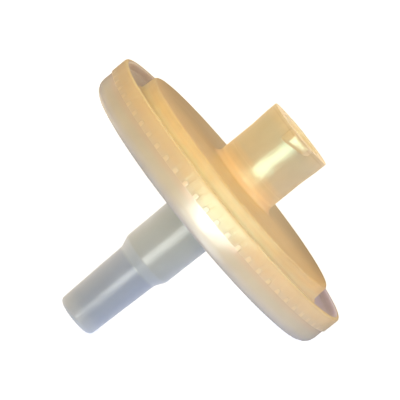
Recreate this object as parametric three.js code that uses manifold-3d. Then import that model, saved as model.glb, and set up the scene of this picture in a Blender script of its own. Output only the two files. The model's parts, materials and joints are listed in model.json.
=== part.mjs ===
// Disc syringe filter: a membrane sealed between two moulded polypropylene shells.
//
// Units are millimetres. Each piece is drawn round the filter's own axis: height 0 is the top
// of the rim, the inlet tube points up and the outlet nozzle points down. The whole filter is
// then laid on its side, on the edge of its disc and the end of its nozzle, as it comes to rest.

import * as THREE from 'three';
import { mergeVertices } from 'three/addons/utils/BufferGeometryUtils.js';
import Module from 'manifold-3d';

const wasm = await Module();
wasm.setup();

// ---------------------------------------------------------------- driving dimensions

const facets = 48; // flats round the axis
const arcSteps = 4; // chords in a large rounding
const edgeSteps = 2; // chords in a small rounded edge

// Clearances between the pieces
const weldGap = 0.05; // between the shells, all along their welded seam
const membraneGap = 0.03; // over, under and round the membrane
const toothGap = 0.05; // on every side of a tooth in its notch

// Membrane and the chamber that it divides
const membraneRadius = 12.5;
const membraneThickness = 0.15;
const clampLand = 1.9; // edge of the membrane that the shells grip

// Inlet housing: the cap
const lipWidth = 0.45; // top of the rim, outside the groove
const lipRound = 0.16;
const grooveDepth = 0.75; // ring groove between the lip and the plateau
const grooveDraft = 0.12; // how far each groove wall leans
const plateauSide = 0.85; // wall between the chamber and the groove
const plateauRise = 0.92; // above the top of the rim
const plateauRound = 0.22;
const capWeb = 0.6; // wall under the groove
const plateauWall = 1.35;
const skirtWall = 1.0; // outside the welded seam
const skirtLap = 0.2; // how far the skirt hangs below the clamped face

// Inlet tube with its female Luer socket (6 % taper on the diameter)
const tubeRadius = 3.25;
const tubeHeight = 6.43; // above the plateau
const tubeFillet = 1.7;
const mouthBand = 2.6; // height over which the tube is thickened at its mouth
const mouthBandRamp = 1.6; // part of that height in which it widens
const mouthBandProud = 0.09;
const mouthRound = 0.15;
const luerSlope = 0.03; // change of radius for each millimetre of depth
const socketRadius = 2.14; // at the mouth
const socketDepth = 7.2;
const socketChamfer = 0.12;
const inletHoleRadius = 0.9;
const inletHoleFlare = 0.35;

// Locking lugs, one on each side of the mouth
const lugCount = 2;
const lugReach = 3.9; // radius over the lugs
const lugWidth = 3.5;
const lugThickEnd = 1.5;
const lugThinEnd = 0.7; // the underside follows a Luer-lock thread
const lugBevel = 0.2;
const lugTurn = THREE.MathUtils.degToRad(-12.5); // from square across the resting side

// Spreader ribs under the cap
const spreaderCount = 12;
const spreaderWidth = 0.6;
const spreaderHeight = 0.55;
const spreaderStart = 2.4; // radius where each rib begins
const spreaderEndGap = 0.7; // left open between the ribs and the chamber's wall

// Outlet housing: the cup
const cupInset = 0.11; // the cap stands proud of the cup by this much
const cupFloor = 1.3;
const weldLand = 0.64; // spigot wall between the membrane's pocket and the skirt
const cornerRound = 1.07;
const ringCount = 5; // support rings under the membrane
const ringWidth = 0.6;
const ringHeight = 0.8;
const drainCount = 8; // radial channels through the rings
const drainWidth = 0.9;
const sumpRadius = 1.75; // hollow where the channels meet the outlet
const sumpDepth = 0.6;

// Teeth of the cup, standing in notches of the cap's skirt
const toothCount = 66;
const toothWidth = 0.46;
const toothHeight = 0.42;
const toothDraft = 0.08; // narrowing of each flank from root to top
const toothSetback = 0.03; // behind the cap's wall
const toothRoot = 0.27; // how deep a tooth is anchored in the cup's wall
const notchReach = 0.2; // how far a notch reaches in beyond the skirt's wall

// Outlet tube with its male Luer nozzle
const collarRadius = 2.68; // at the disc
const collarEndRadius = 2.6;
const collarLength = 5.85;
const collarFillet = 0.3;
const shoulderLength = 0.95;
const nozzleLength = 7.04;
const nozzleRadius = 1.98; // at the tip
const tipRound = 0.45;
const boreRadius = 1.12; // at the tip
const boreEndRadius = 1.0; // under the sump

// ---------------------------------------------------------------- levels and radii that follow

const chamberRadius = membraneRadius - clampLand;
const plateauRadius = chamberRadius + plateauSide;
const pocketRadius = membraneRadius + membraneGap;
const spigotRadius = pocketRadius + weldLand;
const skirtInner = spigotRadius + weldGap;
const capRadius = skirtInner + skirtWall;
const cupRadius = capRadius - cupInset;

const rimTop = 0;
const plateauTop = rimTop + plateauRise;
const mouthTop = plateauTop + tubeHeight;
const roof = plateauTop - plateauWall;
const grooveFloor = rimTop - grooveDepth;
const clampFace = grooveFloor - capWeb;
const skirtEdge = clampFace - skirtLap;

const membraneTop = clampFace - membraneGap;
const membraneSeat = membraneTop - membraneThickness - membraneGap;
const drainFloor = membraneSeat - ringHeight;
const underside = drainFloor - cupFloor;

const cupShoulder = skirtEdge - weldGap;
const spigotTop = clampFace - weldGap;

const collarEnd = underside - collarLength;
const nozzleRoot = collarEnd - shoulderLength;
const nozzleEnd = nozzleRoot - nozzleLength;

// ---------------------------------------------------------------- drawing tools

const at = (radius, height) => new THREE.Vector2(radius, height);

/** Points along a rounded edge. Angles are in degrees, anticlockwise from straight outwards. */
function arc(centre, radius, fromDegrees, toDegrees, steps) {
  const points = [];
  for (let step = 0; step <= steps; step += 1) {
    const degrees = THREE.MathUtils.lerp(fromDegrees, toDegrees, step / steps);
    const angle = THREE.MathUtils.degToRad(degrees);
    points.push(at(centre.x + radius * Math.cos(angle), centre.y + radius * Math.sin(angle)));
  }
  return points;
}

/** Turns a closed outline round the axis, with one flat squarely on the resting side, +X. */
function revolve(outline) {
  const loop = [...outline, outline[0]];
  const halfFlat = Math.PI / facets;
  return new THREE.LatheGeometry(loop, facets, Math.PI / 2 - halfFlat).rotateX(Math.PI / 2);
}

/** A prism that runs straight out from the axis. Its outline is [across, height] points. */
function radialPrism(outline, fromRadius, toRadius, angle) {
  const shape = new THREE.Shape(outline.map(([across, height]) => at(across, height)));
  const settings = { depth: toRadius - fromRadius, bevelEnabled: false };
  const across = new THREE.Vector3(0, 1, 0);
  const up = new THREE.Vector3(0, 0, 1);
  const outwards = new THREE.Vector3(1, 0, 0);
  return new THREE.ExtrudeGeometry(shape, settings)
    .applyMatrix4(new THREE.Matrix4().makeBasis(across, up, outwards))
    .translate(fromRadius, 0, 0)
    .rotateZ(angle);
}

/** The four corners of a bar's section, from one height to another. */
function barSection(width, bottom, top, draft = 0) {
  const half = width / 2;
  return [[-half, bottom], [half, bottom], [half - draft, top], [draft - half, top]];
}

/** One prism for each of count equal steps round the axis. */
function ringOfPrisms(count, outline, fromRadius, toRadius, turn = 0) {
  const step = 2 * Math.PI / count;
  return Array.from({ length: count }, (_, index) =>
    radialPrism(outline, fromRadius, toRadius, turn + index * step));
}

function toSolid(geometry) {
  const bare = geometry.clone();
  bare.deleteAttribute('normal');
  bare.deleteAttribute('uv');
  const merged = mergeVertices(bare);
  return new wasm.Manifold(new wasm.Mesh({
    numProp: 3,
    vertProperties: merged.attributes.position.array,
    triVerts: new Uint32Array(merged.index.array),
  }));
}

function toGeometry(solid) {
  const mesh = solid.getMesh();
  const geometry = new THREE.BufferGeometry();
  geometry.setAttribute('position', new THREE.BufferAttribute(mesh.vertProperties, 3));
  geometry.setIndex(new THREE.BufferAttribute(mesh.triVerts, 1));
  geometry.computeVertexNormals();
  return geometry;
}

const join = (solid, geometries) =>
  geometries.reduce((whole, geometry) => whole.add(toSolid(geometry)), solid);

const cut = (solid, geometries) =>
  geometries.reduce((rest, geometry) => rest.subtract(toSolid(geometry)), solid);

// ---------------------------------------------------------------- inlet housing

/** Rim lip, ring groove and raised plateau, from the skirt's edge in to the tube's fillet. */
function capTopOutline() {
  const lipInner = capRadius - lipWidth;
  return [
    at(capRadius, skirtEdge),
    ...arc(at(capRadius - lipRound, rimTop - lipRound), lipRound, 0, 90, edgeSteps),
    ...arc(at(lipInner + lipRound, rimTop - lipRound), lipRound, 90, 180, edgeSteps),
    at(lipInner - grooveDraft, grooveFloor),
    at(plateauRadius + grooveDraft, grooveFloor),
    ...arc(at(plateauRadius - plateauRound, plateauTop - plateauRound), plateauRound, 0, 90, edgeSteps),
  ];
}

/** Outside of the inlet tube, from its fillet up to the rounded mouth. */
function tubeOutline() {
  const bandRadius = tubeRadius + mouthBandProud;
  const filletCentre = at(tubeRadius + tubeFillet, plateauTop + tubeFillet);
  return [
    ...arc(filletCentre, tubeFillet, 270, 180, arcSteps),
    at(tubeRadius, mouthTop - mouthBand),
    at(bandRadius, mouthTop - mouthBand + mouthBandRamp),
    ...arc(at(bandRadius - mouthRound, mouthTop - mouthRound), mouthRound, 0, 90, edgeSteps),
  ];
}

/** The socket's taper, the hole under it, the roof, the clamped face and inside of the skirt. */
function capInsideOutline() {
  const socketEndRadius = socketRadius - luerSlope * socketDepth;
  const socketEnd = mouthTop - socketDepth;
  return [
    at(socketRadius + socketChamfer, mouthTop),
    at(socketRadius, mouthTop - socketChamfer),
    at(socketEndRadius, socketEnd),
    at(inletHoleRadius, socketEnd),
    at(inletHoleRadius, roof + inletHoleFlare),
    at(inletHoleRadius + inletHoleFlare, roof),
    at(chamberRadius, roof),
    at(chamberRadius, clampFace),
    at(skirtInner, clampFace),
    at(skirtInner, skirtEdge),
  ];
}

/** A lug is a slice of a bevelled ring, with an underside that climbs like a thread. */
function lockingLugs() {
  const rootRadius = tubeRadius - mouthRound;
  const ring = revolve([
    at(rootRadius, mouthTop - lugThickEnd),
    at(lugReach, mouthTop - lugThickEnd),
    at(lugReach, mouthTop - lugBevel),
    at(lugReach - lugBevel, mouthTop),
    at(rootRadius, mouthTop),
  ]);
  const half = lugWidth / 2;
  const slice = [
    [-half, mouthTop - lugThickEnd],
    [half, mouthTop - lugThinEnd],
    [half, mouthTop],
    [-half, mouthTop],
  ];
  const quarterTurn = Math.PI / 2;
  const slices = ringOfPrisms(lugCount, slice, socketRadius, 2 * lugReach, quarterTurn + lugTurn);
  return slices.map((prism) => toGeometry(toSolid(ring).intersect(toSolid(prism))));
}

function spreaderRibs() {
  const section = barSection(spreaderWidth, roof - spreaderHeight, roof + plateauWall / 2);
  return ringOfPrisms(spreaderCount, section, spreaderStart, chamberRadius - spreaderEndGap);
}

const halfTooth = Math.PI / toothCount;
const toothTop = cupShoulder + toothHeight;
const notchBack = skirtInner - notchReach;

function skirtNotches() {
  const width = toothWidth + 2 * toothGap;
  const section = barSection(width, cupShoulder, toothTop + toothGap, toothDraft);
  return ringOfPrisms(toothCount, section, notchBack, capRadius + skirtWall, halfTooth);
}

function inletHousing() {
  const outline = [...capTopOutline(), ...tubeOutline(), ...capInsideOutline()];
  const shell = toSolid(revolve(outline));
  const notched = cut(shell, skirtNotches());
  return toGeometry(join(notched, [...lockingLugs(), ...spreaderRibs()]));
}

// ---------------------------------------------------------------- outlet housing

const cornerCentre = at(cupRadius - cornerRound, underside + cornerRound);
const cornerEdge = arc(cornerCentre, cornerRound, 270, 360, arcSteps);
const tipCentre = at(nozzleRadius - tipRound, nozzleEnd + tipRound);
const tipEdge = arc(tipCentre, tipRound, 270, 360, arcSteps);

/** Outside of the cup, its shoulder, and the spigot that plugs into the cap. */
function cupOutline() {
  return [
    ...cornerEdge,
    at(cupRadius, cupShoulder),
    at(spigotRadius, cupShoulder),
    at(spigotRadius, spigotTop),
    at(pocketRadius, spigotTop),
    at(pocketRadius, membraneSeat),
    at(chamberRadius, membraneSeat),
    at(chamberRadius, drainFloor),
  ];
}

/** The support rings in section, from the chamber's wall in to the sump. */
function supportRingOutline() {
  const pitch = (chamberRadius - sumpRadius) / ringCount;
  const points = [];
  for (let ring = ringCount - 1; ring >= 0; ring -= 1) {
    const inner = sumpRadius + ring * pitch;
    const outer = inner + ringWidth;
    points.push(at(outer, drainFloor), at(outer, membraneSeat));
    points.push(at(inner, membraneSeat), at(inner, drainFloor));
  }
  return points;
}

/** Sump, bore, tapered nozzle, shoulder and collar, back to the disc's underside. */
function nozzleOutline() {
  const rootRadius = nozzleRadius + luerSlope * nozzleLength;
  const filletCentre = at(collarRadius + collarFillet, underside - collarFillet);
  return [
    at(boreEndRadius, drainFloor - sumpDepth),
    at(boreRadius, nozzleEnd),
    ...tipEdge,
    at(rootRadius, nozzleRoot),
    at(collarEndRadius, collarEnd),
    ...arc(filletCentre, collarFillet, 180, 90, edgeSteps),
  ];
}

/** The teeth are slices of a ring that stands on the cup's shoulder, nearly flush with the cap. */
function cupTeeth() {
  const face = capRadius - toothSetback;
  const rootFace = cupRadius - toothSetback;
  const rootBottom = cupShoulder - toothRoot;
  const ring = toSolid(revolve([
    at(pocketRadius, rootBottom),
    at(rootFace, rootBottom),
    at(rootFace, cupShoulder),
    at(face, cupShoulder),
    at(face, toothTop),
    at(pocketRadius, toothTop),
  ]));
  const half = toothWidth / 2;
  const section = [
    [-half, rootBottom],
    [half, rootBottom],
    [half, cupShoulder],
    [half - toothDraft, toothTop],
    [toothDraft - half, toothTop],
    [-half, cupShoulder],
  ];
  const back = notchBack + toothGap;
  const slices = ringOfPrisms(toothCount, section, back, capRadius + skirtWall, halfTooth);
  return slices.map((prism) => toGeometry(ring.intersect(toSolid(prism))));
}

function drainChannels() {
  const lastGroove = (chamberRadius - sumpRadius) / ringCount - ringWidth;
  const section = barSection(drainWidth, drainFloor, spigotTop);
  return ringOfPrisms(drainCount, section, boreEndRadius, chamberRadius - lastGroove / 2);
}

function outletHousing() {
  const outline = [...cupOutline(), ...supportRingOutline(), ...nozzleOutline()];
  const shell = toSolid(revolve(outline));
  const drained = cut(shell, drainChannels());
  return toGeometry(join(drained, cupTeeth()));
}

// ---------------------------------------------------------------- membrane

function membraneDisc() {
  const halfFlat = Math.PI / facets;
  const middle = membraneTop - membraneThickness / 2;
  return new THREE.CylinderGeometry(
    membraneRadius, membraneRadius, membraneThickness, facets, 1, false, Math.PI / 2 - halfFlat,
  ).rotateX(Math.PI / 2).translate(0, 0, middle);
}

// ---------------------------------------------------------------- assembly

/** Angle of the axis above the bench when the disc's edge and the nozzle's tip both touch it. */
function restingLean() {
  const flatScale = Math.cos(Math.PI / facets);
  const lineAngle = (tip, corner) =>
    Math.atan2((corner.x - tip.x) * flatScale, corner.y - tip.y);
  const steepest = (tip) => Math.max(...cornerEdge.map((corner) => lineAngle(tip, corner)));
  return Math.min(...tipEdge.map(steepest));
}

function piece(name, geometry, color, roughness) {
  const material = new THREE.MeshStandardMaterial({ color, roughness, metalness: 0 });
  const mesh = new THREE.Mesh(geometry, material);
  mesh.name = name;
  return mesh;
}

const upright = new THREE.Group();
upright.add(
  piece('inlet_housing', inletHousing(), '#dcb27c', 0.35),
  piece('outlet_housing', outletHousing(), '#c9bda6', 0.35),
  piece('membrane', membraneDisc(), '#f2efe6', 0.8),
);

const filter = new THREE.Group();
filter.name = 'syringe_filter';
filter.add(upright);
upright.rotation.y = Math.PI / 2 - restingLean();

const extent = new THREE.Box3().setFromObject(filter, true);
const middle = extent.getCenter(new THREE.Vector3());
upright.position.set(-middle.x, -middle.y, -extent.min.z);

export default filter;
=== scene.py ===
"""Dresses the disc syringe filter: fine meshes for its two shells, their translucent
polypropylene, the membrane, and a small white studio.

The shells are drawn in millimetres round the filter's own axis, as radius and height,
with height 0 at the top of the rim and the inlet tube pointing up. `lying` then puts
them where the CAD model's filter lies.
"""

import json
import math

import bmesh
import bpy
from mathutils import Matrix, Vector

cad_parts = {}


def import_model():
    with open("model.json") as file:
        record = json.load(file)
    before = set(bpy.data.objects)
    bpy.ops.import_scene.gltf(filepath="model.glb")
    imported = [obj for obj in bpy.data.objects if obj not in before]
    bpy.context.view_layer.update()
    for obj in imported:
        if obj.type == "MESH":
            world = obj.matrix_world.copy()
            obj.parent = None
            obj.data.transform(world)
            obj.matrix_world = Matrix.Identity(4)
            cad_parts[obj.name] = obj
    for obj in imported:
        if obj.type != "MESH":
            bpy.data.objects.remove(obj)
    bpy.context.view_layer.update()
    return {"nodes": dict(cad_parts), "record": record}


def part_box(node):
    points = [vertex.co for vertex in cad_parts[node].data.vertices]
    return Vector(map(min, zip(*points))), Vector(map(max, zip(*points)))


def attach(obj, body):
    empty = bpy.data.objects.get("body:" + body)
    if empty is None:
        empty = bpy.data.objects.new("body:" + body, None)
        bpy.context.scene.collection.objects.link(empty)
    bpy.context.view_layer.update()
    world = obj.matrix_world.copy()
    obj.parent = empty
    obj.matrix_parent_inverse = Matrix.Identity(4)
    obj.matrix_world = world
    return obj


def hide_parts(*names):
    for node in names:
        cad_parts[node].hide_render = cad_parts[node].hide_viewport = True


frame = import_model()

MM = 0.001

# ------------------------------------------------------------------ sizes, in millimetres

WELD_GAP = 0.005
WELD_LAND = 0.64  # spigot wall outside the membrane's pocket
MEMBRANE_GAP = 0.03

MEMBRANE_RADIUS = 12.5
MEMBRANE_THICKNESS = 0.15
CHAMBER_RADIUS = 10.6
POCKET_RADIUS = MEMBRANE_RADIUS + MEMBRANE_GAP
SPIGOT_RADIUS = POCKET_RADIUS + WELD_LAND
SKIRT_INNER = SPIGOT_RADIUS + WELD_GAP
CAP_RADIUS = 14.22
CUP_RADIUS = 14.11

PLATEAU_RADIUS = 11.45
PLATEAU_TOP = 0.92
PLATEAU_ROUND = 0.26
LIP_WIDTH = 0.45
LIP_OUTER_ROUND = 0.2
LIP_INNER_ROUND = 0.16
GROOVE_DEPTH = 0.75
GROOVE_DRAFT = 0.12
GROOVE_ROUND = 0.25
ROOF = -0.43
CLAMP_FACE = -1.35
SKIRT_EDGE = -1.55
CAP_CHAMBER_ROUND = 0.2

TUBE_RADIUS = 3.25
TUBE_FILLET = 1.7
MOUTH_TOP = 7.35
MOUTH_BAND = 2.6
MOUTH_BAND_RAMP = 1.6
MOUTH_BAND_PROUD = 0.09
MOUTH_BAND_ROUND = 9  # both bends of the band are hardly seen
MOUTH_RADIUS = TUBE_RADIUS + MOUTH_BAND_PROUD
MOUTH_ROUND = 0.28
SOCKET_RADIUS = 2.14
SOCKET_DEPTH = 7.2
SOCKET_END_RADIUS = 1.924
SOCKET_MOUTH_ROUND = 0.1
SOCKET_END_ROUND = 0.15
HOLE_RADIUS = 0.9
HOLE_ROUND = 0.05
HOLE_FLARE_ROUND = 0.3

LUG_REACH = 3.9
LUG_WIDTH = 3.5
LUG_THICK_END = 1.5
LUG_THIN_END = 0.7
LUG_FLANK = 0.9  # width of its sloping ends
LUG_SLOPE = 0.15  # of its underside, for each mm of thickness
LUG_ROOT = 0.25  # how deep it stands in the tube's wall
LUG_SETBACK = 0.01  # below the mouth
LUG_ROUNDS = (0.3, 0.22)  # of its lower and its upper edge
LUG_STEPS = 28  # along its width
LUG_TURN = -12.5  # in degrees, from square across the resting side

SPREADER_COUNT = 12
SPREADER_SIZE = (0.6, 0.55)
SPREADER_SPAN = (2.4, 9.9)

MEMBRANE_SEAT = -1.56
DRAIN_FLOOR = -2.36
UNDERSIDE = -3.66
CORNER_ROUND = 1.07
POCKET_ROUND = 0.03
CUP_CHAMBER_ROUND = 0.15
LEDGE_ROUND = 0.05  # both clamped edges, at the chamber's wall
RING_COUNT = 5
RING_WIDTH = 0.6
DRAIN_COUNT = 8
DRAIN_WIDTH = 0.9
DRAIN_END_GAP = 0.5  # left between a channel and the chamber's wall
SUMP_RADIUS = 1.75
SUMP_DEPTH = 0.6

TOOTH_COUNT = 66
TOOTH_WIDTH = 0.46
TOOTH_HEIGHT = 0.42
TOOTH_SETBACK = 0.005
TOOTH_ROUND = 0.01  # also of the notches
TOOTH_SQUARENESS = 5  # the power of its rounded outline
TOOTH_ONSET = 3  # its face stands out this many times sooner than it rises
TOOTH_STEP = 0.001  # height in which its face steps out of the cup's wall
TOOTH_BACK = 0.02  # how far its back stands in from the spigot's wall
NOTCH_BACK = 0.1  # how far a notch reaches in beyond the skirt's wall

COLLAR_RADIUS = 2.68
COLLAR_FILLET = 0.3
COLLAR_END_RADIUS = 2.6
COLLAR_END = -9.51
COLLAR_END_ROUND = 0.5
NOZZLE_ROOT = -10.46
NOZZLE_ROOT_RADIUS = 2.191
NOZZLE_ROOT_FILLET = 0.25
NOZZLE_END = -17.5
NOZZLE_RADIUS = 1.98
TIP_ROUND = 0.5
BORE_RADIUS = 1.12
BORE_END_RADIUS = 1.0
BORE_ROUND = 0.1  # at both its ends

LARGE_ROUND = 1.5  # roundings over this get more chords
LARGE_CHORDS = 8
SMALL_CHORDS = 4
EDGE_SHARE = 0.98  # of an edge, that the roundings at its two ends may use together

# Columns of points on each side of a tooth's middle, close together at its flank
TOOTH_COLUMNS = (0.12, 0.19, 0.225, 0.25, 0.275, 0.31, 0.42)

# ------------------------------------------------------------------ where the filter lies


def placed(spot, right, up, back):
    """The matrix that puts an object at a spot, with its own three axes along these."""
    return Matrix.Translation(spot) @ Matrix((right, up, back)).transposed().to_4x4()


mount_axes = {m["name"]: Vector(m["axis"]) for m in frame["record"]["mounts"]}
axis = mount_axes["inlet_mouth"].normalized()
downhill = Vector((axis.z, 0, -axis.x))
sideways = axis.cross(downhill)
membrane_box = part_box("membrane")
membrane_middle = (Vector(membrane_box[0]) + Vector(membrane_box[1])) / 2
membrane_height = (CLAMP_FACE - MEMBRANE_GAP - MEMBRANE_THICKNESS / 2) * MM
rim_centre = membrane_middle - axis * membrane_height
lying = placed(rim_centre, downhill, sideways, axis)

# ------------------------------------------------------------------ outlines


def rounded(corners):
    """A closed outline from (radius, height, rounding) corners; rounding 0 stays sharp. Two
    roundings share the edge between them by their size, if it is too short for both."""
    points = []
    count = len(corners)
    for index, (x, y, rounding) in enumerate(corners):
        here = Vector((x, y))
        if rounding <= 0:
            points.append(here)
            continue
        reach = math.inf
        spokes = []
        for neighbour in (corners[index - 1], corners[(index + 1) % count]):
            spoke = Vector(neighbour[:2]) - here
            spokes.append(spoke)
            share = rounding / (rounding + neighbour[2])
            reach = min(reach, EDGE_SHARE * spoke.length * share)
        before, after = spokes
        half_angle = before.angle(after) / 2
        reach = min(reach, rounding / math.tan(half_angle))
        radius = reach * math.tan(half_angle)
        middle = (before.normalized() + after.normalized()).normalized()
        centre = here + middle * (radius / math.sin(half_angle))
        start = here + before.normalized() * reach - centre
        turn = start.angle_signed(here + after.normalized() * reach - centre)
        chords = LARGE_CHORDS if rounding > LARGE_ROUND else SMALL_CHORDS
        for chord in range(chords + 1):
            points.append(centre + Matrix.Rotation(-turn * chord / chords, 2) @ start)
    return points


def tooth_share(offset):
    """How much of a tooth's height stands at an offset in mm from its middle: a squarish
    hump, 1 in the middle and 0 from half its width on."""
    share = min(abs(offset) / (TOOTH_WIDTH / 2), 1)
    return (1 - share**TOOTH_SQUARENESS) ** (1 / TOOTH_SQUARENESS)


def cap_outline(offset):
    """The inlet housing in section, at an offset in mm from the middle of the nearest notch."""
    notch = tooth_share(offset)
    edge = SKIRT_EDGE + notch * TOOTH_HEIGHT
    back = SKIRT_INNER - min(notch * TOOTH_ONSET, 1) * NOTCH_BACK
    lip_inner = CAP_RADIUS - LIP_WIDTH
    corners = [
        (CAP_RADIUS, edge, TOOTH_ROUND),
        (CAP_RADIUS, 0, LIP_OUTER_ROUND),
        (lip_inner, 0, LIP_INNER_ROUND),
        (lip_inner - GROOVE_DRAFT, -GROOVE_DEPTH, GROOVE_ROUND),
        (PLATEAU_RADIUS + GROOVE_DRAFT, -GROOVE_DEPTH, GROOVE_ROUND),
        (PLATEAU_RADIUS, PLATEAU_TOP, PLATEAU_ROUND),
        (TUBE_RADIUS, PLATEAU_TOP, TUBE_FILLET),
        (TUBE_RADIUS, MOUTH_TOP - MOUTH_BAND, MOUTH_BAND_ROUND),
        (MOUTH_RADIUS, MOUTH_TOP - MOUTH_BAND + MOUTH_BAND_RAMP, MOUTH_BAND_ROUND),
        (MOUTH_RADIUS, MOUTH_TOP, MOUTH_ROUND),
        (SOCKET_RADIUS, MOUTH_TOP, SOCKET_MOUTH_ROUND),
        (SOCKET_END_RADIUS, MOUTH_TOP - SOCKET_DEPTH, SOCKET_END_ROUND),
        (HOLE_RADIUS, MOUTH_TOP - SOCKET_DEPTH, HOLE_ROUND),
        (HOLE_RADIUS, ROOF, HOLE_FLARE_ROUND),
        (CHAMBER_RADIUS, ROOF, CAP_CHAMBER_ROUND),
        (CHAMBER_RADIUS, CLAMP_FACE, LEDGE_ROUND),
        (back, CLAMP_FACE, 0),
        (back, edge, 0),
    ]
    return rounded(corners)


def cup_outline(offset):
    """The outlet housing in section, at an offset in mm from the middle of the nearest tooth."""
    tooth = tooth_share(offset)
    shoulder = SKIRT_EDGE - WELD_GAP
    top = shoulder + tooth * TOOTH_HEIGHT
    onset = min(tooth * TOOTH_ONSET, 1)
    face = CUP_RADIUS + onset * (CAP_RADIUS - TOOTH_SETBACK - CUP_RADIUS)
    back = SPIGOT_RADIUS - onset * TOOTH_BACK
    spigot_top = CLAMP_FACE - WELD_GAP
    corners = [
        (CUP_RADIUS, UNDERSIDE, CORNER_ROUND),
        (CUP_RADIUS, shoulder, 0),
        (face, shoulder + TOOTH_STEP, 0),
        (face, top, TOOTH_ROUND),
        (back, top, 0),
        (back, spigot_top, 0),
        (POCKET_RADIUS, spigot_top, POCKET_ROUND),
        (POCKET_RADIUS, MEMBRANE_SEAT, 0),
        (CHAMBER_RADIUS, MEMBRANE_SEAT, LEDGE_ROUND),
        (CHAMBER_RADIUS, DRAIN_FLOOR, CUP_CHAMBER_ROUND),
    ]
    pitch = (CHAMBER_RADIUS - SUMP_RADIUS) / RING_COUNT
    for ring in reversed(range(RING_COUNT)):
        inner = SUMP_RADIUS + ring * pitch
        outer = inner + RING_WIDTH
        corners.append((outer, DRAIN_FLOOR, 0))
        corners.append((outer, MEMBRANE_SEAT, 0))
        corners.append((inner, MEMBRANE_SEAT, 0))
        corners.append((inner, DRAIN_FLOOR, 0))
    corners += [
        (BORE_END_RADIUS, DRAIN_FLOOR - SUMP_DEPTH, BORE_ROUND),
        (BORE_RADIUS, NOZZLE_END, BORE_ROUND),
        (NOZZLE_RADIUS, NOZZLE_END, TIP_ROUND),
        (NOZZLE_ROOT_RADIUS, NOZZLE_ROOT, NOZZLE_ROOT_FILLET),
        (COLLAR_END_RADIUS, COLLAR_END, COLLAR_END_ROUND),
        (COLLAR_RADIUS, UNDERSIDE, COLLAR_FILLET),
    ]
    return rounded(corners)


def columns():
    """Angles round the axis and their offsets in mm from the middle of the nearest tooth."""
    pitch = 2 * math.pi * CAP_RADIUS / TOOTH_COUNT
    offsets = [-x for x in reversed(TOOTH_COLUMNS)] + [0] + list(TOOTH_COLUMNS) + [pitch / 2]
    return [
        ((tooth + 0.5) * 2 * math.pi / TOOTH_COUNT + offset / CAP_RADIUS, offset)
        for tooth in range(TOOTH_COUNT)
        for offset in offsets
    ]


def section(mesh, outline, angle):
    """The points of an outline in the half-plane at an angle round the axis."""
    c, s = math.cos(angle), math.sin(angle)
    return [mesh.verts.new((p.x * c, p.x * s, p.y)) for p in outline]


def bridge(mesh, one, other):
    """Faces between two sections that follow each other."""
    for i in range(len(one)):
        j = (i + 1) % len(one)
        mesh.faces.new((one[i], other[i], other[j], one[j]))


def turned(outline_at):
    """A closed bmesh that carries an outline round the axis."""
    outlines = {}
    mesh = bmesh.new()
    sections = []
    for angle, offset in columns():
        if offset not in outlines:
            outlines[offset] = outline_at(offset)
        sections.append(section(mesh, outlines[offset], angle))
    for one, following in zip(sections, sections[1:] + sections[:1]):
        bridge(mesh, one, following)
    return mesh


def as_object(name, mesh):
    data = bpy.data.meshes.new(name)
    mesh.to_mesh(data)
    mesh.free()
    made = bpy.data.objects.new(name, data)
    bpy.context.scene.collection.objects.link(made)
    return made


# ------------------------------------------------------------------ lugs, ribs and channels


def lug(mesh, middle_angle):
    """One locking lug: a bevelled bar bent round the mouth, thinner towards one end."""
    half_turn = LUG_WIDTH / 2 / LUG_REACH
    root = TUBE_RADIUS - LUG_ROOT
    top = MOUTH_TOP - LUG_SETBACK
    lower_round, upper_round = LUG_ROUNDS
    sections = []
    for step in range(LUG_STEPS + 1):
        share = step / LUG_STEPS
        swell = min(min(share, 1 - share) * LUG_WIDTH / LUG_FLANK, 1)
        reach = TUBE_RADIUS + (LUG_REACH - TUBE_RADIUS) * swell
        thickness = LUG_THICK_END - share * (LUG_THICK_END - LUG_THIN_END)
        bottom = MOUTH_TOP - thickness
        corners = [
            (root, bottom, 0),
            (reach, bottom + LUG_SLOPE * thickness, lower_round),
            (reach, top, upper_round),
            (root, top, 0),
        ]
        angle = middle_angle + (2 * share - 1) * half_turn
        sections.append(section(mesh, rounded(corners), angle))
    for one, following in zip(sections, sections[1:]):
        bridge(mesh, one, following)
    mesh.faces.new(list(reversed(sections[-1])))
    mesh.faces.new(sections[0])
    bmesh.ops.recalc_face_normals(mesh, faces=mesh.faces)


def lugs():
    mesh = bmesh.new()
    for quarter in (90, 270):
        lug(mesh, math.radians(quarter + LUG_TURN))
    return as_object("lugs", mesh)


def star(name, count, width, bottom, top, start, end):
    """Straight bars, spaced evenly round the axis, that each run out from it."""
    mesh = bmesh.new()
    size = Vector((end - start, width, top - bottom))
    middle = Vector(((start + end) / 2, 0, (bottom + top) / 2))
    for index in range(count):
        spin = Matrix.Rotation(2 * math.pi * index / count, 4, "Z")
        place = spin @ Matrix.Translation(middle) @ Matrix.Diagonal(size).to_4x4()
        bmesh.ops.create_cube(mesh, size=1, matrix=place)
    return as_object(name, mesh)


def spreader_ribs():
    width, height = SPREADER_SIZE
    levels = (ROOF - height, ROOF + height)
    return star("spreader_ribs", SPREADER_COUNT, width, *levels, *SPREADER_SPAN)


def drain_channels():
    levels = (DRAIN_FLOOR, CLAMP_FACE)
    span = (BORE_END_RADIUS, CHAMBER_RADIUS - DRAIN_END_GAP)
    return star("drain_channels", DRAIN_COUNT, DRAIN_WIDTH, *levels, *span)


def combine(body, tool, operation):
    """Joins or cuts with the tool object, which is then gone."""
    modifier = body.modifiers.new("combine", "BOOLEAN")
    modifier.object = tool
    modifier.operation = operation
    modifier.solver = "MANIFOLD"
    graph = bpy.context.evaluated_depsgraph_get()
    result = bpy.data.meshes.new_from_object(body.evaluated_get(graph))
    body.modifiers.clear()
    body.data = result
    bpy.data.objects.remove(tool)


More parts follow.
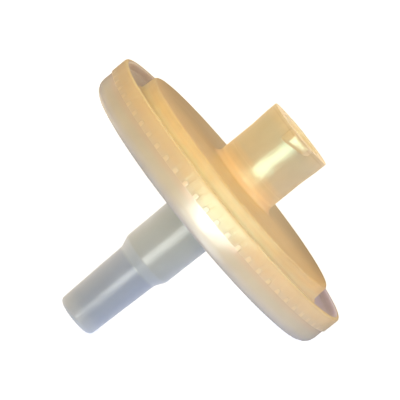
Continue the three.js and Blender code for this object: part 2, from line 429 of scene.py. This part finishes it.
# The CAD model has flats where these shells are round, so it falls a little short of its
# radius across the axis. The shells are narrowed by that share, to stay in its box.
cad_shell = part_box("inlet_housing")
narrowing = (cad_shell[1][1] - cad_shell[0][1]) / (2 * CAP_RADIUS * MM)

SHARP_ANGLE = math.radians(40)  # edges over this stay sharp
FLAT_MARGIN = 0.01  # keeps the cup's flat underside from counting as its tube


def finish_shell(shell, disc_material, tube_material, is_tube):
    """Lays the shell down, in metres, with smooth faces and real edges. The faces whose
    height in mm is a tube's get the second material."""
    tubular = [is_tube(face.center.z) for face in shell.data.polygons]
    radial = MM * narrowing
    shell.data.transform(lying @ Matrix.Diagonal((radial, radial, MM, 1)))
    shell.data.shade_smooth()
    shell.data.set_sharp_from_angle(angle=SHARP_ANGLE)
    shell.data.materials.clear()
    shell.data.materials.append(disc_material)
    shell.data.materials.append(tube_material)
    shell.data.polygons.foreach_set("material_index", tubular)


# ------------------------------------------------------------------ node trees


def linear(value):
    """A channel from 0 to 255, as it looks on screen, as a linear value."""
    value /= 255
    return value / 12.92 if value <= 0.04045 else ((value + 0.055) / 1.055) ** 2.4


def srgb(colour):
    """A colour with channels from 0 to 255, as it looks on screen, as linear values."""
    return tuple(linear(value) for value in colour)


class Nodes:
    """Writes the node tree of a material or a world from left to right."""

    def __init__(self, owner):
        owner.use_nodes = True
        self.tree = owner.node_tree

    def add(self, kind, inputs=None, **settings):
        node = self.tree.nodes.new(kind)
        for key, value in settings.items():
            setattr(node, key, value)
        for key, value in (inputs or {}).items():
            self.put(value, node.inputs[key])
        return node

    def put(self, value, socket):
        if isinstance(value, bpy.types.NodeSocket):
            self.tree.links.new(value, socket)
        else:
            socket.default_value = value

    def place(self):
        """Coordinates in metres, as the object lies."""
        return self.add("ShaderNodeTexCoord").outputs["Object"]

    def upright(self):
        """Coordinates in metres round the filter's axis, with the inlet up."""
        laid = {
            "Vector": self.place(),
            "Location": lying.translation,
            "Rotation": lying.to_euler(),
        }
        return self.add("ShaderNodeMapping", laid, vector_type="TEXTURE").outputs[0]

    def parts(self, vector):
        return self.add("ShaderNodeSeparateXYZ", {0: vector}).outputs

    def maths(self, operation, a, b=0.0, c=0.0):
        return self.add("ShaderNodeMath", {0: a, 1: b, 2: c}, operation=operation).outputs[0]

    def product(self, a, b):
        return self.maths("MULTIPLY", a, b)

    def step(self, value, edge, width, unit=MM):
        """From 0 to 1 as the value passes the edge; a negative width steps down instead."""
        edge, width = edge * unit, width * unit
        scaled = self.maths("MULTIPLY_ADD", value, 1 / width, 0.5 - edge / width)
        return self.add("ShaderNodeClamp", {0: scaled}).outputs[0]

    def noise(self, vector, pattern):
        scale, detail = pattern
        settings = {"Vector": vector, "Scale": scale, "Detail": detail}
        return self.add("ShaderNodeTexNoise", settings).outputs["Fac"]

    def ramp(self, factor, stops):
        node = self.add("ShaderNodeValToRGB", {"Fac": factor})
        node.color_ramp.interpolation = "EASE"
        elements = node.color_ramp.elements
        while len(elements) < len(stops):
            elements.new(0.5)
        for element, (position, colour) in zip(elements, stops):
            element.position = position
            element.color = (*colour, 1)
        return node.outputs["Color"]

    def mix(self, factor, a, b, blend="MIX"):
        """Colour a at factor 0 and b at factor 1; each is a socket or three linear values."""
        node = self.add("ShaderNodeMix", data_type="RGBA", blend_type=blend)
        self.put(factor, node.inputs["Factor"])
        for name, colour in (("A", a), ("B", b)):
            socket = [s for s in node.inputs if s.name == name and s.type == "RGBA"][0]
            self.put((*colour, 1) if isinstance(colour, tuple) else colour, socket)
        return [s for s in node.outputs if s.type == "RGBA"][0]

    def bumped(self, height, strength, distance):
        settings = {"Height": height, "Strength": strength, "Distance": distance * MM}
        return self.add("ShaderNodeBump", settings).outputs["Normal"]

    def glow(self, colour, strength=1.0):
        settings = {"Color": colour, "Strength": strength}
        return self.add("ShaderNodeEmission", settings).outputs[0]

    def choose(self, factor, a, b):
        """Shader a at factor 0 and b at factor 1."""
        return self.add("ShaderNodeMixShader", {0: factor, 1: a, 2: b}).outputs[0]


def new_material(name):
    """A material with its nodes and its Principled shader."""
    material = bpy.data.materials.new(name)
    nodes = Nodes(material)
    return material, nodes, nodes.tree.nodes["Principled BSDF"]


# ------------------------------------------------------------------ polypropylene

WHITE = (1.0, 1.0, 1.0)
PLASTIC_IOR = 1.49

SUBSURFACE_WEIGHT = 0.9
SUBSURFACE_RADIUS = (1.0, 0.9, 0.8)

# Patterns in the plastic: how often they repeat in a metre, and their detail
CLOUDS = (350.0, 3.0)  # faint, in the tint
CLOUD_RANGE = [(0.3, (0.95, 0.95, 0.95)), (0.7, WHITE)]
GRAIN = (2600.0, 3.0)  # of the mould's surface
GRAIN_ROUGHNESS = 0.05
DRAWN_LINES = (1800.0, 2.0)  # along the axis
DRAWN_STRETCH = (1, 1, 0.12)
SINK_MARKS = (420.0, 1.0)
BUMP_STRENGTH = 0.1
BUMP_DISTANCE = 0.1

# Light goes deep into the plateau and the tube, and less deep below, where the teeth are
SHALLOW_LIGHT = 0.2
DEEP_LIGHT = 2.0
DEEP_EDGE = (-0.2, 0.3)  # the height where the change is half done, and how far it takes

# Where tints meet: a place in mm and how far the change takes, negative for a step down.
# The groove's painted shade runs from a little outside the plateau to a little inside the lip.
GROOVE_SHADE_INNER = (PLATEAU_RADIUS + 0.3, 0.2)
GROOVE_SHADE_OUTER = (CAP_RADIUS - 0.35, -0.1)
# Painted shade in the groove: greyer than the plastic, warm on the uphill side and cool lilac on
# the downhill side
GROOVE_SHADE_UPHILL = (204, 189, 177)
GROOVE_SHADE_DOWNHILL = (207, 195, 214)
GROOVE_SHADE_TURN = (0, 16)  # along X, from the uphill painted shade to the downhill one
WALL_FOOT_TOP = (0.12, -0.3)  # the plateau's wall is painted lighter below this height, where the lip's shadow falls
WALL_FOOT_PAINTED_LIGHT = (255, 228, 180)
# Painted light down the socket, standing in for light through its thin wall
SOCKET_EDGE = (SOCKET_RADIUS + 0.15, -0.1)
SOCKET_PAINTED_LIGHT = (250, 226, 186)


def with_painted_shade_and_light(nodes, tint, parts):
    """The tint, with painted shade in the groove, and painted light low on the plateau's wall
    and down the socket."""
    across = nodes.add("ShaderNodeCombineXYZ", {0: parts["X"], 1: parts["Y"]}).outputs[0]
    radius = nodes.add("ShaderNodeVectorMath", {0: across}, operation="LENGTH").outputs["Value"]
    outside = nodes.step(radius, *GROOVE_SHADE_INNER)
    # painted light low on the plateau's wall, against the lip's shadow
    foot = nodes.step(parts["Z"], *WALL_FOOT_TOP)
    foot = nodes.product(foot, nodes.maths("SUBTRACT", 1.0, outside))
    tint = nodes.mix(foot, tint, srgb(WALL_FOOT_PAINTED_LIGHT))
    # painted shade in the groove
    within = nodes.product(outside, nodes.step(radius, *GROOVE_SHADE_OUTER))
    downward = nodes.step(parts["X"], *GROOVE_SHADE_TURN)
    groove_shade = nodes.mix(downward, srgb(GROOVE_SHADE_UPHILL), srgb(GROOVE_SHADE_DOWNHILL))
    tint = nodes.mix(within, tint, groove_shade)
    # painted light down the socket
    hollow = nodes.step(radius, *SOCKET_EDGE)
    return nodes.mix(hollow, tint, srgb(SOCKET_PAINTED_LIGHT))


def polypropylene(name, tints, roughnesses, reliefs, gloss, sheen, is_cap=False):
    """Translucent natural polypropylene. Its tint and roughness follow the height along the
    filter's axis, as (height in mm, value) stops from low to high. Reliefs are the heights of
    the grain, the drawn lines and the sink marks. Gloss is a level and a tint, and sheen a
    weight, a roughness and a tint."""
    material, nodes, shader = new_material(name)
    place = nodes.upright()
    parts = nodes.parts(place)
    low, high = tints[0][0], tints[-1][0]
    span = (high - low) * MM
    share = nodes.maths("MULTIPLY_ADD", parts["Z"], 1 / span, -low * MM / span)

    def along(stops):
        return [((height - low) / (high - low), value) for height, value in stops]

    tint = nodes.ramp(share, along([(height, srgb(colour)) for height, colour in tints]))
    # On the cap: painted shade in the groove, and painted light on the wall's foot and down the
    # socket
    if is_cap:
        tint = with_painted_shade_and_light(nodes, tint, parts)
    cloudy = nodes.ramp(nodes.noise(place, CLOUDS), CLOUD_RANGE)
    nodes.put(nodes.mix(1.0, tint, cloudy, "MULTIPLY"), shader.inputs["Base Color"])

    grain = nodes.noise(place, GRAIN)
    settings = {"Vector": place, "Scale": DRAWN_STRETCH}
    drawn = nodes.noise(nodes.add("ShaderNodeMapping", settings).outputs[0], DRAWN_LINES)
    sunk = nodes.noise(place, SINK_MARKS)
    graining, drawing, sinking = reliefs
    relief = nodes.maths("MULTIPLY_ADD", drawn, drawing, nodes.product(sunk, sinking))
    relief = nodes.maths("MULTIPLY_ADD", grain, graining, relief)
    nodes.put(nodes.bumped(relief, BUMP_STRENGTH, BUMP_DISTANCE), shader.inputs["Normal"])
    level = nodes.ramp(share, along([(height, (value,) * 3) for height, value in roughnesses]))
    rough = nodes.maths("MULTIPLY_ADD", grain, GRAIN_ROUGHNESS, level)
    nodes.put(rough, shader.inputs["Roughness"])

    shader.inputs["IOR"].default_value = PLASTIC_IOR
    shader.inputs["Specular IOR Level"].default_value = gloss[0]
    shader.inputs["Specular Tint"].default_value = (*gloss[1], 1)
    shader.inputs["Sheen Weight"].default_value = sheen[0]
    shader.inputs["Sheen Roughness"].default_value = sheen[1]
    shader.inputs["Sheen Tint"].default_value = (*sheen[2], 1)
    shader.inputs["Subsurface Weight"].default_value = SUBSURFACE_WEIGHT
    shader.inputs["Subsurface Radius"].default_value = SUBSURFACE_RADIUS
    upper = nodes.step(parts["Z"], *DEEP_EDGE)
    deepening = (DEEP_LIGHT - SHALLOW_LIGHT) * MM
    depth = nodes.maths("MULTIPLY_ADD", upper, deepening, SHALLOW_LIGHT * MM)
    nodes.put(depth, shader.inputs["Subsurface Scale"])
    return material


# ------------------------------------------------------------------ membrane

PORES = (6000.0, 2.0)
PORE_STRENGTH = 0.2
PORE_DISTANCE = 0.05
MEMBRANE_ROUGHNESS = 0.85
PORE_RANGE = [(0.35, srgb((232, 229, 220))), (0.65, srgb((245, 243, 236)))]


def membrane_film():
    material, nodes, shader = new_material("membrane_film")
    pores = nodes.noise(nodes.place(), PORES)
    nodes.put(nodes.ramp(pores, PORE_RANGE), shader.inputs["Base Color"])
    nodes.put(nodes.bumped(pores, PORE_STRENGTH, PORE_DISTANCE), shader.inputs["Normal"])
    shader.inputs["Roughness"].default_value = MEMBRANE_ROUGHNESS
    return material


# ------------------------------------------------------------------ the filter

# Each table runs along the axis, as a height in mm and the tint or roughness there. No table
# stays between 0.22 and 0.28 in roughness, where the grain comes out as speckles.
INLET_TINTS = [
    (-1.6, (226, 200, 163)),
    (-0.8, (232, 202, 155)),
    (-0.32, (233, 204, 156)),
    # painted shade: darker round the lip's top edge, dimming its highlight
    (-0.15, (219, 190, 144)),
    (-0.03, (216, 188, 142)),
    (0.1, (240, 211, 161)),
    (0.35, (236, 207, 157)),
    (0.65, (224, 196, 148)),
    (0.78, (213, 184, 137)),
    (0.9, (210, 181, 134)),
    (0.918, (224, 193, 141)),
    (1.1, (246, 215, 166)),
    (1.5, (240, 209, 161)),
    (1.9, (219, 191, 147)),
    (2.4, (203, 181, 143)),
    (2.66, (207, 188, 154)),
    (3.2, (196, 184, 157)),
    (6.0, (190, 182, 156)),
    (6.95, (196, 183, 153)),
    # painted shade: darker at the mouth's end
    (7.12, (184, 168, 139)),
    (7.4, (180, 162, 132)),
]
INLET_ROUGHNESSES = [
    (-1.6, 0.33),
    (0.86, 0.35),
    (0.9, 0.28),
    (1.1, 0.36),
    (2.1, 0.42),
    (2.8, 0.2),
    (7.1, 0.2),
    (7.2, 0.45),
    (7.4, 0.45),
]
INLET_RELIEFS = (1.0, 2.5, 11.0)
CAP_GLOSS = (0.6, (0.6, 1.0, 0.8))
CAP_SHEEN = (0.0, 0.3, WHITE)
TUBE_GLOSS = (0.6, (0.7, 1.0, 0.75))
TUBE_SHEEN = (1.0, 0.5, (1.0, 0.86, 0.6))

OUTLET_TINTS = [
    (-17.5, (188, 191, 190)),
    (-15.5, (162, 169, 177)),
    (-10.7, (161, 168, 177)),
    # painted light: the shoulder between nozzle and collar is lighter, where it faces down into
    # shade
    (-10.45, (175, 181, 181)),
    (-9.7, (176, 180, 178)),
    (-9.5, (175, 178, 172)),
    (-4.5, (176, 178, 168)),
    (-3.4, (212, 203, 186)),
    (-2.4, (214, 201, 172)),
    (-1.6, (222, 198, 164)),
    # painted light: the teeth are lighter than the rest of the cup, for the light they catch
    # along the seam
    (-1.55, (236, 209, 164)),
    (-1.1, (236, 209, 164)),
]
OUTLET_ROUGHNESSES = [
    (-17.5, 0.22),
    (-3.6, 0.22),
    (-3.4, 0.21),
    (-1.62, 0.21),
    (-1.56, 0.36),
    (-1.1, 0.36),
]
OUTLET_RELIEFS = (0.2, 0.4, 6.0)
CUP_GLOSS = (0.9, WHITE)
CUP_SHEEN = (0.2, 0.35, WHITE)
NOZZLE_GLOSS = (0.41, (0.98, 0.98, 1.0))
NOZZLE_SHEEN = (1.0, 0.5, (1.0, 1.0, 0.97))


def inlet_housing():
    shell = as_object("inlet_shell", turned(cap_outline))
    combine(shell, lugs(), "UNION")
    combine(shell, spreader_ribs(), "UNION")
    look = (INLET_TINTS, INLET_ROUGHNESSES, INLET_RELIEFS)
    disc = polypropylene("inlet_polypropylene", *look, CAP_GLOSS, CAP_SHEEN, is_cap=True)
    tube = polypropylene("tube_polypropylene", *look, TUBE_GLOSS, TUBE_SHEEN, is_cap=True)
    finish_shell(shell, disc, tube, lambda height: height > PLATEAU_TOP + TUBE_FILLET)
    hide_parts("inlet_housing")
    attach(shell, "root")


def outlet_housing():
    shell = as_object("outlet_shell", turned(cup_outline))
    combine(shell, drain_channels(), "DIFFERENCE")
    look = (OUTLET_TINTS, OUTLET_ROUGHNESSES, OUTLET_RELIEFS)
    cup = polypropylene("outlet_polypropylene", *look, CUP_GLOSS, CUP_SHEEN)
    tubes = polypropylene("nozzle_polypropylene", *look, NOZZLE_GLOSS, NOZZLE_SHEEN)
    finish_shell(shell, cup, tubes, lambda height: height < UNDERSIDE - FLAT_MARGIN)
    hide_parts("outlet_housing")
    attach(shell, "root")


inlet_housing()
outlet_housing()
frame["nodes"]["membrane"].data.materials.clear()
frame["nodes"]["membrane"].data.materials.append(membrane_film())

# ------------------------------------------------------------------ camera

VIEW_TURN = math.radians(-21.5)  # about the filter's axis, from square across the resting side
VIEW_LIFT = math.radians(5.7)  # towards the inlet
AXIS_SLOPE = math.radians(39.08)  # of the filter's axis in the picture
VIEW_DISTANCE = 260 * MM
FRAME_WIDTH = 33.79 * MM  # seen across the frame at the rim
RIM_PLACE = (0.08395, 0.02853)  # of the rim's centre from the frame's centre, in frame widths
SENSOR_WIDTH = 36

# Square across the axis, towards the camera, and square to both, towards the downhill side
level = sideways * -math.cos(VIEW_TURN) + downhill * math.sin(VIEW_TURN)
lower = axis.cross(level)


def camera():
    back = level * math.cos(VIEW_LIFT) + axis * math.sin(VIEW_LIFT)
    along = (axis - back * axis.dot(back)).normalized()
    across = back.cross(along)
    right = along * math.cos(AXIS_SLOPE) - across * math.sin(AXIS_SLOPE)
    up = along * math.sin(AXIS_SLOPE) + across * math.cos(AXIS_SLOPE)
    aim = rim_centre - (right * RIM_PLACE[0] + up * RIM_PLACE[1]) * FRAME_WIDTH
    spot = rim_centre + back * VIEW_DISTANCE
    looking = (spot - aim).normalized()
    right = up.cross(looking).normalized()
    up = looking.cross(right)
    lens = bpy.data.cameras.new("camera")
    lens.sensor_width = SENSOR_WIDTH
    lens.lens = lens.sensor_width * VIEW_DISTANCE / FRAME_WIDTH
    lens.clip_start = 0.01
    lens.clip_end = 10
    made = bpy.data.objects.new("camera", lens)
    made.matrix_world = placed(spot, right, up, looking)
    bpy.context.scene.collection.objects.link(made)
    bpy.context.scene.camera = made


camera()

# ------------------------------------------------------------------ floor and world

FLOOR_HALF_WIDTH = 3.0

# What the camera sees of the floor: nearly white, and it takes the filter's shadow
FLOOR_SEEN = (0.72, 0.76, 0.86)
FLOOR_SEEN_GLOW = 0.72
FLOOR_ROUGHNESS = 0.9

# What lights the filter from below: the floor's bounce and a bluish glow
FLOOR_BOUNCE = (0.6, 0.64, 0.68)
FLOOR_GLOW = (0.29, 0.40, 0.74)

# What the filter's gloss shows of the floor: warm and dark bands, from the filter back
CARD_REACH = 160 * MM
CARD_DARK = (0.12, 0.08, 0.06)
CARD_BRIGHT = (0.95, 0.72, 0.44)
CARD_FAR = (0.42, 0.33, 0.25)
CARD_BANDS = [
    (0.14, CARD_DARK),
    (0.30, CARD_BRIGHT),
    (0.50, CARD_BRIGHT),
    (0.58, CARD_DARK),
    (0.75, CARD_DARK),
    (1.0, CARD_FAR),
]

# The front lamp's colour, and where and how bright gloss shows the part of it that the floor
# would hide: an edge and how far the change takes, in mm along Y and X, and in degrees
GLINT_COLOUR = (0.97, 1.0, 0.92)
PATCH_Y = (-80, -25)
PATCH_X = (-40, 25)
PATCH_GLOW = 8.4
SECTOR_CENTRE = -8  # mm along X
SECTOR_START = (-136, 10)
SECTOR_END = (-96, -10)
SECTOR_NEAR = (-10, -6)
SECTOR_FAR = (-50, -70)
SECTOR_GLOW = 2.2
SECTOR_FAR_GLOW = 5.0  # on top of that

WORLD_LIGHT = (0.37, 0.315, 0.225)
WORLD_MIRRORED = (0.66, 0.58, 0.48)


def hidden_lamp(nodes, parts):
    """How bright gloss shows the part of the front lamp that the floor would hide from the
    cup: a patch in front, as the cup's wall sees it, and a sector, as its corner does."""
    x, y = parts["X"], parts["Y"]
    patch = nodes.product(nodes.step(y, *PATCH_Y), nodes.step(x, *PATCH_X))
    bearing = nodes.maths("ARCTAN2", y, nodes.maths("ADD", x, -SECTOR_CENTRE * MM))
    degree = math.radians(1)
    started = nodes.step(bearing, *SECTOR_START, unit=degree)
    sector = nodes.product(started, nodes.step(bearing, *SECTOR_END, unit=degree))
    sector = nodes.product(sector, nodes.step(y, *SECTOR_NEAR))
    further = nodes.step(y, *SECTOR_FAR)
    strength = nodes.maths("MULTIPLY_ADD", further, SECTOR_FAR_GLOW, SECTOR_GLOW)
    sector = nodes.product(sector, strength)
    return nodes.maths("MAXIMUM", nodes.product(patch, PATCH_GLOW), sector)


def floor():
    mesh = bmesh.new()
    bmesh.ops.create_grid(mesh, x_segments=1, y_segments=1, size=FLOOR_HALF_WIDTH)
    ground = as_object("floor", mesh)
    material, nodes, seen = new_material("floor_white")
    seen.inputs["Base Color"].default_value = (*FLOOR_SEEN, 1)
    seen.inputs["Roughness"].default_value = FLOOR_ROUGHNESS
    seen.inputs["Specular IOR Level"].default_value = 0.0
    seen.inputs["Emission Color"].default_value = (*WHITE, 1)
    seen.inputs["Emission Strength"].default_value = FLOOR_SEEN_GLOW

    bounce = nodes.add("ShaderNodeBsdfDiffuse", {"Color": (*FLOOR_BOUNCE, 1)}).outputs[0]
    glow = nodes.glow((*FLOOR_GLOW, 1))
    lit = nodes.add("ShaderNodeAddShader", {0: bounce, 1: glow}).outputs[0]

    parts = nodes.parts(nodes.place())
    card = nodes.ramp(nodes.product(parts["Y"], 1 / CARD_REACH), CARD_BANDS)
    extra = hidden_lamp(nodes, parts)
    card = nodes.mix(nodes.step(extra, 0.5, 1.0, unit=1), card, GLINT_COLOUR)
    mirrored = nodes.glow(card, nodes.maths("ADD", extra, 1.0))

    ray = nodes.add("ShaderNodeLightPath").outputs
    mixed = nodes.choose(ray["Is Glossy Ray"], lit, mirrored)
    mixed = nodes.choose(ray["Is Camera Ray"], mixed, seen.outputs[0])
    nodes.put(mixed, nodes.tree.nodes["Material Output"].inputs["Surface"])
    ground.data.materials.append(material)


def world():
    made = bpy.data.worlds.new("studio")
    nodes = Nodes(made)
    ray = nodes.add("ShaderNodeLightPath").outputs
    colour = nodes.mix(ray["Is Glossy Ray"], WORLD_LIGHT, WORLD_MIRRORED)
    colour = nodes.mix(ray["Is Camera Ray"], colour, WHITE)
    nodes.put(colour, nodes.tree.nodes["Background"].inputs["Color"])
    bpy.context.scene.world = made


# ------------------------------------------------------------------ lamps

# Name, turn, lift, distance, width, length, radiance, colour, and the rays that miss it
LAMPS = [
    # the streaks along the tubes and the bright patch on the cup
    ("front_glint", 7.5, -9, 300, 185, 130, 12.0, GLINT_COLOUR, "diffuse"),
    # the large lights: from the camera's side, from behind, and from above the downhill side
    ("front_fill", 2, 3, 320, 250, 120, 6.3, (1.0, 0.95, 0.82), None),
    ("back_fill", -108, 5, 300, 160, 160, 3.2, (1.0, 0.74, 0.44), "glossy"),
    ("warm_fill", 65, 60, 300, 200, 160, 1.6, (0.95, 0.82, 0.7), None),
    # close by: for the plateau's upper side, the nozzle's upper side, and the disc's low end
    ("near_fill", -33, 49, 21, 14, 14, 2.2, (1.0, 0.76, 0.44), "glossy"),
    ("tip_fill", -80, -45, 18, 8, 8, 1.8, (1.0, 0.96, 0.92), "glossy"),
    ("low_fill", 78, 27, 15, 7, 7, 1.4, (1.0, 0.7, 0.34), "glossy"),
]


def lamp(name, turn, lift, distance, width, length, radiance, colour, missed_by):
    """A soft box, turned in degrees about the filter's axis from the camera's side, towards the
    downhill side, and lifted towards the inlet. Its width runs round the axis."""
    light = bpy.data.lights.new(name, "AREA")
    light.shape = "RECTANGLE"
    light.size = width * MM
    light.size_y = length * MM
    light.energy = radiance * math.pi * light.size * light.size_y
    light.color = colour
    turn, lift = math.radians(turn), math.radians(lift)
    round_axis = level * math.cos(turn) + lower * math.sin(turn)
    towards = round_axis * math.cos(lift) + axis * math.sin(lift)
    side = axis.cross(towards).normalized()
    made = bpy.data.objects.new(name, light)
    made.matrix_world = placed(
        rim_centre + towards * distance * MM, side, towards.cross(side), towards
    )
    made.visible_camera = False
    made.visible_diffuse = missed_by != "diffuse"
    made.visible_glossy = missed_by != "glossy"
    bpy.context.scene.collection.objects.link(made)


floor()
world()
for settings in LAMPS:
    lamp(*settings)

bpy.context.scene.view_settings.view_transform = "Standard"
